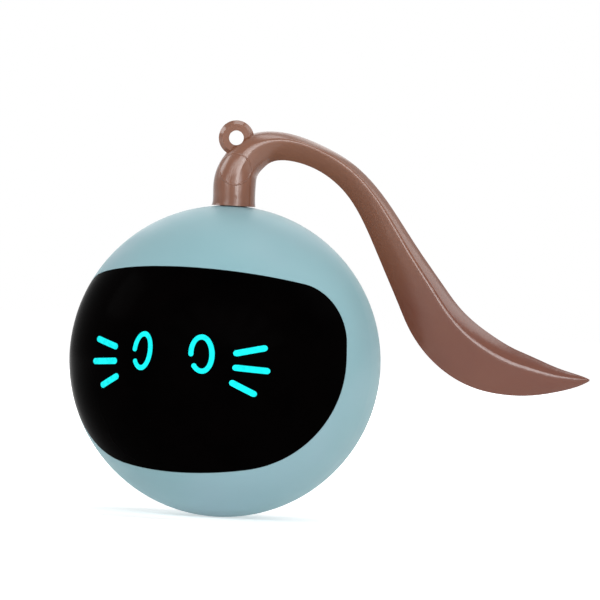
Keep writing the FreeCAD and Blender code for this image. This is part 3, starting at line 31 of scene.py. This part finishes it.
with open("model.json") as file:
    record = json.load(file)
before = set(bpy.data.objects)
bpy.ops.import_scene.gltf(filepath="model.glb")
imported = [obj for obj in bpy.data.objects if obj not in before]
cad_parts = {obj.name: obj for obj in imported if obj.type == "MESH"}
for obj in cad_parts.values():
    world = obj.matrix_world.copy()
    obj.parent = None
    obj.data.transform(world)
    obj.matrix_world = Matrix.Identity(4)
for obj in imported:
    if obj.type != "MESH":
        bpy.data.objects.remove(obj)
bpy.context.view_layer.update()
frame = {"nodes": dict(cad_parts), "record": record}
nodes = frame["nodes"]

MM = 0.001
UP = Vector((0.0, 0.0, 1.0))

# The ball, read from the model itself.
shell_low, shell_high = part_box("front_shell")
BALL_RADIUS = (shell_high.x - shell_low.x) / 2
BALL_CENTRE = Vector((0.0, 0.0, BALL_RADIUS))

# The tail's upright plane, which is the picture's too: its normal points to the camera.
TAIL_TURN = math.radians(20.5)
TAIL_SIDE = Vector((math.cos(TAIL_TURN), math.sin(TAIL_TURN), 0.0))
TAIL_NORMAL = Vector((math.sin(TAIL_TURN), -math.cos(TAIL_TURN), 0.0))

# Heights over which painted shade makes the tail darker low down and lighter high up, and how much uneven
# colour is added.
TAIL_SHADE_HEIGHTS = (33 * MM, 62 * MM)
TAIL_TINT_DRIFT = 0.35

# Round plug mark on both sides of the tail's stem: its height over the ball's centre, its radius
# and half the width of its line. The search for the tail's surface starts outside the tail.
PLUG_RISE = 29.9 * MM
PLUG_RADIUS = 2.43 * MM
PLUG_LINE = 0.15 * MM
PLUG_STEPS = 72
PLUG_SEARCH_FROM = 8 * MM

# The line's section: pairs of across the line and off the surface, in shares of PLUG_LINE.
PLUG_SECTION = ((-1.0, -0.4), (-0.7, 0.25), (0.0, 0.5), (0.7, 0.25), (1.0, -0.4), (0.0, -0.7))

# Contacts of the charging port, on both faces of its tongue. CONTACT_INSET is how far they stay
# behind the port's mouth, and PORT_DROP is how far the port lies under the ball's centre.
CONTACT_COUNT = 12
CONTACT_PITCH = 0.5 * MM
CONTACT_WIDTH = 0.26 * MM
CONTACT_LENGTH = 3.6 * MM
CONTACT_HEIGHT = 0.05 * MM
CONTACT_INSET = 0.6 * MM
TONGUE_THICKNESS = 0.7 * MM
PORT_DROP = 4.0 * MM

# Tracks of the circuit boards: units of the brick pattern in a metre, each of them four rows high,
# and the gap between two tracks in such units.
TRACK_SCALE = 420
TRACK_GAP = 0.03

# Camera, as read from the photograph: the size of a pixel on the object, the pixels in a side,
# and the point aimed at, from the ball's centre. The sensor's width alone is in millimetres.
PIXEL = 0.15575 * MM
PICTURE = 600
CAMERA_ROLL = math.radians(3.1)
CAMERA_DISTANCE = 0.9
CAMERA_CLIP = (0.01, 50.0)
AIM_RIGHT = 11.68 * MM
AIM_UP = 9.53 * MM
SENSOR = 36.0

# What the sky and the floor's own glow shed on other surfaces, where 1 is white.
SKY_LIGHT = 0.05
FLOOR_LIFT_LIGHT = 0.36

# The floor's own glow to the eye: from and to how far from the ball in metres, and how much there.
FLOOR_GLOW_RANGE = (0.08, 0.3)
FLOOR_GLOW_SEEN = (0.5, 1.0)
FLOOR_COLOUR = (0.85, 0.85, 0.85, 1)
FLOOR_REACH = 6.0

# Bow of lamps over the camera. ARCH_FROM, ARCH_TO and ARCH_SPREAD_FROM are degrees in the picture,
# from its right upwards. ARCH_OFF_AXIS is off the line of sight, and ARCH_SPREAD is added to it
# little by little from ARCH_SPREAD_FROM on.
ARCH_LAMPS = 8
ARCH_FROM = 27.0
ARCH_TO = 185.0
ARCH_OFF_AXIS = 29.0
ARCH_SPREAD = 19.0
ARCH_SPREAD_FROM = 100.0
ARCH_DISTANCE = 1.6

# The lamps' width along the bow, and their reach across it and their glow, which both fall
# evenly from the right end to the left.
ARCH_WIDTH = 0.25
ARCH_REACH = (1.0, 0.5)
ARCH_GLOW = (7.0, 3.0)

# Lamps that light the ball's edge: name, degrees in the picture, degrees off the line of sight,
# distance, size and glow. The last one stands behind the ball.
RIM_LAMPS = (
    ("upper right", 42.0, 97.0, 1.0, (0.6, 0.5), 2.2),
    ("overhead", 85.0, 97.0, 1.0, (0.6, 0.5), 2.9),
    ("upper left", 150.0, 97.0, 1.0, (0.4, 0.4), 4.2),
)
BACK_LAMP = ("behind", 90.0, 150.0, 1.6, (1.2, 1.2), 1.3)

# Where most values of a noise lie.
NOISE_RANGE = (0.3, 0.7)


# Shader and geometry nodes

def feed(tree, source, socket):
    """A socket takes a plain value or another node's output."""
    if isinstance(source, bpy.types.NodeSocket):
        tree.links.new(source, socket)
    else:
        socket.default_value = source


def calculated(tree, operation, *terms):
    """The result of an operation on plain numbers and other nodes' outputs."""
    node = tree.nodes.new("ShaderNodeMath")
    node.operation = operation
    for term, socket in zip(terms, node.inputs):
        feed(tree, term, socket)
    return node.outputs[0]


def stretched(tree, value, given, result):
    """A value moved from between the two given ends to between the two result ends."""
    node = tree.nodes.new("ShaderNodeMapRange")
    for name, end in zip(("From Min", "From Max", "To Min", "To Max"), (*given, *result)):
        feed(tree, end, node.inputs[name])
    feed(tree, value, node.inputs["Value"])
    return node.outputs["Result"]


# Finishes

def shade(red, green, blue):
    """A colour given as it looks on a screen, 0 to 255, turned into light by the screen's curve."""
    light = []
    for part in (red, green, blue):
        part = part / 255
        light.append(part / 12.92 if part <= 0.04045 else ((part + 0.055) / 1.055) ** 2.4)
    return (*light, 1.0)


class Finish:
    """A material in the making: its tree, its shader and the nodes that feed them."""

    def __init__(self, name):
        self.material = bpy.data.materials.new(name)
        self.material.use_nodes = True
        self.tree = self.material.node_tree
        self.tree.nodes.clear()
        output = self.tree.nodes.new("ShaderNodeOutputMaterial")
        self.shader = self.tree.nodes.new("ShaderNodeBsdfPrincipled")
        self.tree.links.new(self.shader.outputs["BSDF"], output.inputs["Surface"])
        self.place = self.tree.nodes.new("ShaderNodeTexCoord").outputs["Object"]

    def set(self, **values):
        """Values or outputs for the shader's own sockets, with underscores for spaces."""
        for name, value in values.items():
            feed(self.tree, value, self.shader.inputs[name.replace("_", " ")])
        return self

    def noise(self, size, detail=3.0, roughness=0.55, stretch=(1.0, 1.0, 1.0)):
        """Soft noise whose features are about size metres across."""
        mapping = self.tree.nodes.new("ShaderNodeMapping")
        mapping.inputs["Scale"].default_value = stretch
        self.tree.links.new(self.place, mapping.inputs["Vector"])
        node = self.tree.nodes.new("ShaderNodeTexNoise")
        node.inputs["Scale"].default_value = 1 / size
        node.inputs["Detail"].default_value = detail
        node.inputs["Roughness"].default_value = roughness
        self.tree.links.new(mapping.outputs["Vector"], node.inputs["Vector"])
        return node.outputs["Fac"]

    def ramp(self, value, *stops):
        """Colours along a value: pairs of place and colour."""
        node = self.tree.nodes.new("ShaderNodeValToRGB")
        elements = node.color_ramp.elements
        while len(elements) < len(stops):
            elements.new(0.5)
        for element, (place, colour) in zip(elements, stops):
            element.position = place
            element.color = colour
        self.tree.links.new(value, node.inputs["Fac"])
        return node.outputs["Color"]

    def span(self, value, low, high):
        """A noise stretched to run from low to high."""
        return stretched(self.tree, value, NOISE_RANGE, (low, high))

    def bump(self, value, height, after=None):
        """Relief as high as height, laid over an earlier relief if there is one."""
        node = self.tree.nodes.new("ShaderNodeBump")
        node.inputs["Strength"].default_value = 1.0
        node.inputs["Distance"].default_value = height
        self.tree.links.new(value, node.inputs["Height"])
        if after:
            self.tree.links.new(after, node.inputs["Normal"])
        return node.outputs["Normal"]


def moulded(name, pale, deep, rough=(0.4, 0.5), grain=0.25 * MM, height=0.004 * MM):
    """Moulded plastic: slow drift between two near colours, fine grain, uneven gloss."""
    finish = Finish(name)
    drift = finish.noise(9 * MM, detail=2.0)
    colour = finish.ramp(drift, (0.35, deep), (0.65, pale))
    fine = finish.noise(grain, detail=4.0)
    relief = finish.bump(fine, height)
    return finish.set(Base_Color=colour, Roughness=finish.span(fine, *rough), Normal=relief)


def metal(name, pale, deep, rough=(0.25, 0.4), grain=0.3 * MM, height=0.003 * MM):
    """Worked metal: blasted grain, with a little tarnish in patches."""
    finish = Finish(name)
    patch = finish.noise(3 * MM, detail=4.0)
    colour = finish.ramp(patch, (0.35, deep), (0.6, pale))
    fine = finish.noise(grain, detail=5.0, roughness=0.65)
    relief = finish.bump(fine, height)
    finish.set(Base_Color=colour, Roughness=finish.span(fine, *rough), Normal=relief)
    return finish.set(Metallic=1.0)


def ball_finish(name):
    """Blue-grey satin shell: colour drifts a little, fine moulded grain, faint mould flow."""
    finish = Finish(name)
    drift = finish.noise(22 * MM, detail=2.0)
    colour = finish.ramp(
        drift, (0.3, shade(126, 164, 171)), (0.5, shade(131, 166, 173)), (0.7, shade(137, 167, 176)))
    fine = finish.noise(0.22 * MM, detail=4.0)
    flow = finish.noise(6 * MM, detail=3.0, stretch=(1.0, 1.0, 2.0))
    relief = finish.bump(fine, 0.0025 * MM, after=finish.bump(flow, 0.02 * MM))
    finish.set(Base_Color=colour, Roughness=finish.span(flow, 0.42, 0.5), Normal=relief)
    return finish.set(Specular_IOR_Level=0.22)


def visor_finish():
    """Deep black gloss window with hair-fine polish marks."""
    finish = Finish("black gloss window")
    polish = finish.noise(0.5 * MM, detail=6.0, roughness=0.7, stretch=(1.0, 1.0, 5.0))
    cloud = finish.noise(8 * MM, detail=2.0)
    colour = finish.ramp(cloud, (0.3, (0.0004, 0.0003, 0.0003, 1)), (0.7, (0.0009, 0.0006, 0.0006, 1)))
    relief = finish.bump(cloud, 0.01 * MM)
    finish.set(Base_Color=colour, Roughness=finish.span(polish, 0.16, 0.22), Normal=relief)
    return finish.set(Specular_IOR_Level=0.0015)


def light_finish():
    """Milky light ribs, lit cyan from behind, a touch uneven along their length."""
    finish = Finish("lit light guide")
    grain = finish.noise(0.6 * MM, detail=2.0)
    glow = finish.ramp(grain, (0.3, (0.004, 0.5, 0.49, 1)), (0.7, (0.012, 0.62, 0.6, 1)))
    colour = finish.ramp(grain, (0.3, shade(8, 150, 155)), (0.7, shade(10, 165, 170)))
    finish.set(Emission_Color=glow, Base_Color=colour, Normal=finish.bump(grain, 0.004 * MM))
    return finish.set(Emission_Strength=1.0, Roughness=0.35, Specular_IOR_Level=0.02)


def tail_finish():
    """Pearly brown silicone with painted shade, darker low down and lighter high up; fine sparkle in the
    gloss.
    """
    finish = Finish("pearl brown silicone")
    axis = finish.tree.nodes.new("ShaderNodeSeparateXYZ")
    finish.tree.links.new(finish.place, axis.inputs["Vector"])
    height = stretched(finish.tree, axis.outputs["Z"], TAIL_SHADE_HEIGHTS, (0.0, 1.0))
    slow = finish.noise(7 * MM, detail=3.0)
    height_shade_and_drift = calculated(finish.tree, "MULTIPLY_ADD", slow, TAIL_TINT_DRIFT, height)
    # Painted shade: the ramp darkens the tail low down and lightens it high up, with a random drift added.
    colour = finish.ramp(
        height_shade_and_drift, (0.1, shade(95, 47, 30)), (0.5, shade(106, 60, 38)), (1.0, shade(116, 73, 52)))
    sparkle = finish.noise(0.14 * MM, detail=2.0, roughness=0.8)
    satin = finish.noise(1.8 * MM, detail=3.0)
    relief = finish.bump(sparkle, 0.006 * MM, after=finish.bump(satin, 0.03 * MM))
    finish.set(Base_Color=colour, Roughness=finish.span(satin, 0.17, 0.23), Normal=relief)
    return finish.set(Specular_IOR_Level=0.6)


def board_finish():
    """Green solder mask over faint copper tracks."""
    finish = Finish("green circuit board")
    tracks = finish.tree.nodes.new("ShaderNodeTexBrick")
    for name, value in (
            ("Vector", finish.place), ("Scale", TRACK_SCALE), ("Mortar Size", TRACK_GAP),
            ("Color1", shade(20, 92, 52)), ("Color2", shade(24, 100, 58)), ("Mortar", shade(40, 128, 74))):
        feed(finish.tree, value, tracks.inputs[name])
    grain = finish.noise(0.4 * MM)
    relief = finish.bump(tracks.outputs["Fac"], 0.02 * MM, after=finish.bump(grain, 0.004 * MM))
    gloss = finish.span(grain, 0.28, 0.4)
    return finish.set(Base_Color=tracks.outputs["Color"], Roughness=gloss, Normal=relief)


finishes = {
    "ball_plastic": ball_finish("blue satin plastic"),
    "button_plastic": ball_finish("blue button plastic"),
    "visor_black": visor_finish(),
    "light_guide": light_finish(),
    "tail_silicone": tail_finish(),
    "board_green": board_finish(),
    "chip_black": moulded("black chip epoxy", shade(38, 38, 40), shade(28, 28, 30), rough=(0.5, 0.65)),
    "led_white": moulded("pale lamp resin", shade(240, 236, 214), shade(228, 222, 196), rough=(0.2, 0.3)),
    "chassis_white": moulded("white chassis plastic", shade(226, 226, 220), shade(216, 216, 210),
                             rough=(0.5, 0.62)),
    "gear_white": moulded("ivory gear plastic", shade(236, 233, 222), shade(226, 222, 208),
                          rough=(0.35, 0.5)),
    "steel": metal("bright steel", (0.62, 0.62, 0.63, 1), (0.46, 0.46, 0.47, 1)),
    "brass": metal("turned brass", (0.82, 0.62, 0.30, 1), (0.66, 0.46, 0.20, 1)),
    "copper": metal("copper sheet", (0.82, 0.48, 0.32, 1), (0.62, 0.32, 0.20, 1)),
    "weight_iron": metal("cast iron", (0.20, 0.20, 0.21, 1), (0.11, 0.11, 0.115, 1), rough=(0.5, 0.7),
                         grain=0.5 * MM, height=0.02 * MM),
    "cell_foil": metal("cell foil", (0.72, 0.73, 0.75, 1), (0.60, 0.61, 0.64, 1), grain=0.8 * MM,
                       height=0.01 * MM),
    "pad_white": moulded("foam pad", shade(222, 222, 216), shade(208, 208, 200), rough=(0.8, 0.95),
                         grain=0.5 * MM, height=0.03 * MM),
}
contact_gold = metal("contact gold", (0.95, 0.72, 0.32, 1), (0.85, 0.60, 0.24, 1), rough=(0.2, 0.3))

for part in frame["record"]["subparts"]:
    surface = nodes[part["node"]]
    surface.data.materials.clear()
    surface.data.materials.append(finishes[part["material_slot"]].material)


# Pieces made here

def piece(name, data, finish, body):
    """A new piece of the object, riding on a body of the model."""
    thing = bpy.data.objects.new(name, data)
    bpy.context.scene.collection.objects.link(thing)
    data.materials.clear()
    data.materials.append(finish.material)
    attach(thing, body)


def surface_tree(node):
    """The node's surface, for finding points on it."""
    mesh = nodes[node].data
    mesh.calc_loop_triangles()
    corners = [vertex.co.copy() for vertex in mesh.vertices]
    return BVHTree.FromPolygons(corners, [tuple(tri.vertices) for tri in mesh.loop_triangles])


def plug_mark(side):
    """A fine raised line round the plug in the tail's stem, laid on the tail's surface."""
    tail = surface_tree("tail")
    centre = BALL_CENTRE + UP * PLUG_RISE
    outward = TAIL_NORMAL * side
    mesh = bmesh.new()
    loops = []
    for k in range(PLUG_STEPS):
        angle = 2 * math.pi * k / PLUG_STEPS
        spoke = TAIL_SIDE * math.cos(angle) + UP * math.sin(angle)
        start = centre + spoke * PLUG_RADIUS + outward * PLUG_SEARCH_FROM
        point, normal = tail.ray_cast(start, -outward)[:2]
        across = (spoke - normal * spoke.dot(normal)).normalized()
        loops.append([mesh.verts.new(point + across * share * PLUG_LINE + normal * lift * PLUG_LINE)
                      for share, lift in PLUG_SECTION])
    corners = len(PLUG_SECTION)
    for here, there in zip(loops, loops[1:] + loops[:1]):
        for j in range(corners):
            i = (j + 1) % corners
            face = mesh.faces.new((here[j], here[i], there[i], there[j]))
            face.smooth = True
    bmesh.ops.recalc_face_normals(mesh, faces=mesh.faces)
    data = bpy.data.meshes.new("plug_mark")
    mesh.to_mesh(data)
    mesh.free()
    return data


piece("tail_plug_mark_front", plug_mark(1), finishes["tail_silicone"], "tail")
piece("tail_plug_mark_back", plug_mark(-1), finishes["tail_silicone"], "tail")


def contact_rows_tree():
    """Contacts in rows: a bar repeated along X, over and under the tongue."""
    tree = bpy.data.node_groups.new("contact rows", "GeometryNodeTree")
    sockets = tree.interface
    sockets.new_socket("Geometry", in_out="INPUT", socket_type="NodeSocketGeometry")
    keys = {}
    for name, kind in (("Count", "Int"), ("Pitch", "Float"), ("Width", "Float"), ("Length", "Float"),
                       ("Height", "Float"), ("Row gap", "Float"), ("Finish", "Material")):
        keys[name] = sockets.new_socket(name, in_out="INPUT", socket_type="NodeSocket" + kind).identifier
    sockets.new_socket("Geometry", in_out="OUTPUT", socket_type="NodeSocketGeometry")
    given = tree.nodes.new("NodeGroupInput").outputs
    result = tree.nodes.new("NodeGroupOutput")

    def add(kind, **sources):
        """A node of a kind, with underscores for spaces in its inputs' names."""
        node = tree.nodes.new(kind)
        for name, source in sources.items():
            feed(tree, source, node.inputs[name.replace("_", " ")])
        return node

    size = add("ShaderNodeCombineXYZ", X=given["Width"], Y=given["Length"], Z=given["Height"])
    bar = add("GeometryNodeMeshCube", Size=size.outputs[0])
    rows = tree.nodes.new("GeometryNodeJoinGeometry")
    reach = calculated(tree, "MULTIPLY", calculated(tree, "SUBTRACT", given["Count"], 1), given["Pitch"])
    for sign in (1, -1):
        step = add("ShaderNodeCombineXYZ", X=given["Pitch"])
        start = add("ShaderNodeCombineXYZ", X=calculated(tree, "MULTIPLY", reach, -0.5),
                    Z=calculated(tree, "MULTIPLY", given["Row gap"], 0.5 * sign))
        row = tree.nodes.new("GeometryNodeMeshLine")
        row.mode = "OFFSET"
        tree.links.new(given["Count"], row.inputs["Count"])
        tree.links.new(step.outputs[0], row.inputs["Offset"])
        tree.links.new(start.outputs[0], row.inputs["Start Location"])
        copies = add("GeometryNodeInstanceOnPoints", Points=row.outputs[0], Instance=bar.outputs["Mesh"])
        tree.links.new(copies.outputs[0], rows.inputs[0])
    real = add("GeometryNodeRealizeInstances", Geometry=rows.outputs[0])
    dress = add("GeometryNodeSetMaterial", Geometry=real.outputs[0], Material=given["Finish"])
    tree.links.new(dress.outputs[0], result.inputs[0])
    return tree, keys


def port_contacts():
    """The contacts as a mesh of their own, at their place in the port."""
    tree, keys = contact_rows_tree()
    maker = bpy.data.objects.new("contact maker", bpy.data.meshes.new("contact seed"))
    bpy.context.scene.collection.objects.link(maker)
    rows = maker.modifiers.new("rows", "NODES")
    rows.node_group = tree
    values = {"Count": CONTACT_COUNT, "Pitch": CONTACT_PITCH, "Width": CONTACT_WIDTH,
              "Length": CONTACT_LENGTH, "Height": CONTACT_HEIGHT,
              "Row gap": TONGUE_THICKNESS, "Finish": contact_gold.material}
    for name, value in values.items():
        rows[keys[name]] = value
    depsgraph = bpy.context.evaluated_depsgraph_get()
    data = bpy.data.meshes.new_from_object(maker.evaluated_get(depsgraph))
    bpy.data.objects.remove(maker)
    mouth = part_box("charge_port")[1].y
    middle = Vector((0, mouth - CONTACT_INSET - CONTACT_LENGTH / 2, BALL_RADIUS - PORT_DROP))
    data.transform(Matrix.Translation(middle))
    return data


piece("port_contacts", port_contacts(), contact_gold, "ball")


# Floor, light and camera

def glow_where_seen(tree, light, seen_as, target):
    """A strength that is seen_as for the camera, gloss and glass, and light for everything else."""
    paths = tree.nodes.new("ShaderNodeLightPath")
    seen = paths.outputs["Is Camera Ray"]
    for other in ("Is Glossy Ray", "Is Transmission Ray"):
        seen = calculated(tree, "MAXIMUM", seen, paths.outputs[other])
    feed(tree, stretched(tree, seen, (0.0, 1.0), (light, seen_as)), target)


def floor():
    """A pale floor that glows to the eye, less so close to the ball, where its shadow shows."""
    mesh = bpy.data.meshes.new("floor")
    corners = [(x * FLOOR_REACH, y * FLOOR_REACH, 0) for x, y in ((-1, -1), (1, -1), (1, 1), (-1, 1))]
    mesh.from_pydata(corners, [], [(0, 1, 2, 3)])
    thing = bpy.data.objects.new("floor", mesh)
    bpy.context.scene.collection.objects.link(thing)
    finish = Finish("pale floor").set(
        Base_Color=FLOOR_COLOUR, Roughness=1.0, Specular_IOR_Level=0.0, Emission_Color=(1, 1, 1, 1))
    distance = finish.tree.nodes.new("ShaderNodeVectorMath")
    distance.operation = "LENGTH"
    finish.tree.links.new(finish.place, distance.inputs[0])
    lift = stretched(finish.tree, distance.outputs["Value"], FLOOR_GLOW_RANGE, FLOOR_GLOW_SEEN)
    glow_where_seen(finish.tree, FLOOR_LIFT_LIGHT, lift, finish.shader.inputs["Emission Strength"])
    mesh.materials.append(finish.material)


def sky():
    """White for the eye and for gloss, nearly dark as a light."""
    world = bpy.data.worlds.new("studio")
    bpy.context.scene.world = world
    world.use_nodes = True
    background = world.node_tree.nodes["Background"]
    background.inputs["Color"].default_value = (1, 1, 1, 1)
    glow_where_seen(world.node_tree, SKY_LIGHT, 1.0, background.inputs["Strength"])


def off_sight(around, off_axis):
    """Two directions: from the ball to a lamp, and from the line of sight towards it in the picture."""
    around, off_axis = math.radians(around), math.radians(off_axis)
    outward = TAIL_SIDE * math.cos(around) + UP * math.sin(around)
    return TAIL_NORMAL * math.cos(off_axis) + outward * math.sin(off_axis), outward


def softbox(name, place, size, glow, upright):
    """A rectangular lamp that looks at the ball, as bright as glow times white."""
    lamp = bpy.data.lights.new(name, "AREA")
    lamp.shape = "RECTANGLE"
    lamp.size, lamp.size_y = size
    lamp.energy = glow * math.pi * lamp.size * lamp.size_y
    thing = bpy.data.objects.new(name, lamp)
    bpy.context.scene.collection.objects.link(thing)
    away = (place - BALL_CENTRE).normalized()
    across = upright.cross(away).normalized()
    turn = Matrix((across, away.cross(across), away)).transposed().to_4x4()
    thing.matrix_world = Matrix.Translation(place) @ turn
    thing.visible_camera = False


def along(ends, share):
    """The value at a share of the way from one end to the other."""
    return ends[0] + (ends[1] - ends[0]) * share


def lamps():
    """A bow whose gloss runs along the tail's ridge, and lamps for the ball's edge and its back."""
    for k in range(ARCH_LAMPS):
        share = k / (ARCH_LAMPS - 1)
        around = along((ARCH_FROM, ARCH_TO), share)
        spread = max(0.0, around - ARCH_SPREAD_FROM) / (ARCH_TO - ARCH_SPREAD_FROM)
        way, outward = off_sight(around, ARCH_OFF_AXIS + ARCH_SPREAD * spread)
        size = (ARCH_WIDTH, along(ARCH_REACH, share))
        softbox(f"arch {k}", BALL_CENTRE + way * ARCH_DISTANCE, size, along(ARCH_GLOW, share), outward)
    for name, around, off_axis, distance, size, glow in RIM_LAMPS:
        way, outward = off_sight(around, off_axis)
        softbox(name, BALL_CENTRE + way * distance, size, glow, TAIL_NORMAL)
    name, around, off_axis, distance, size, glow = BACK_LAMP
    way, outward = off_sight(around, off_axis)
    softbox(name, BALL_CENTRE + way * distance, size, glow, outward)


def camera():
    """A long lens, level and rolled a little, square to the tail's plane."""
    right = TAIL_SIDE * math.cos(CAMERA_ROLL) + UP * math.sin(CAMERA_ROLL)
    above = UP * math.cos(CAMERA_ROLL) - TAIL_SIDE * math.sin(CAMERA_ROLL)
    aim = BALL_CENTRE + right * AIM_RIGHT + above * AIM_UP
    lens = bpy.data.cameras.new("camera")
    lens.sensor_width = SENSOR
    lens.lens = SENSOR * CAMERA_DISTANCE / (PIXEL * PICTURE)
    lens.clip_start, lens.clip_end = CAMERA_CLIP
    thing = bpy.data.objects.new("camera", lens)
    bpy.context.scene.collection.objects.link(thing)
    turn = Matrix((right, above, TAIL_NORMAL)).transposed().to_4x4()
    thing.matrix_world = Matrix.Translation(aim + TAIL_NORMAL * CAMERA_DISTANCE) @ turn
    bpy.context.scene.camera = thing


floor()
sky()
lamps()
camera()
bpy.context.scene.view_settings.view_transform = "Standard"
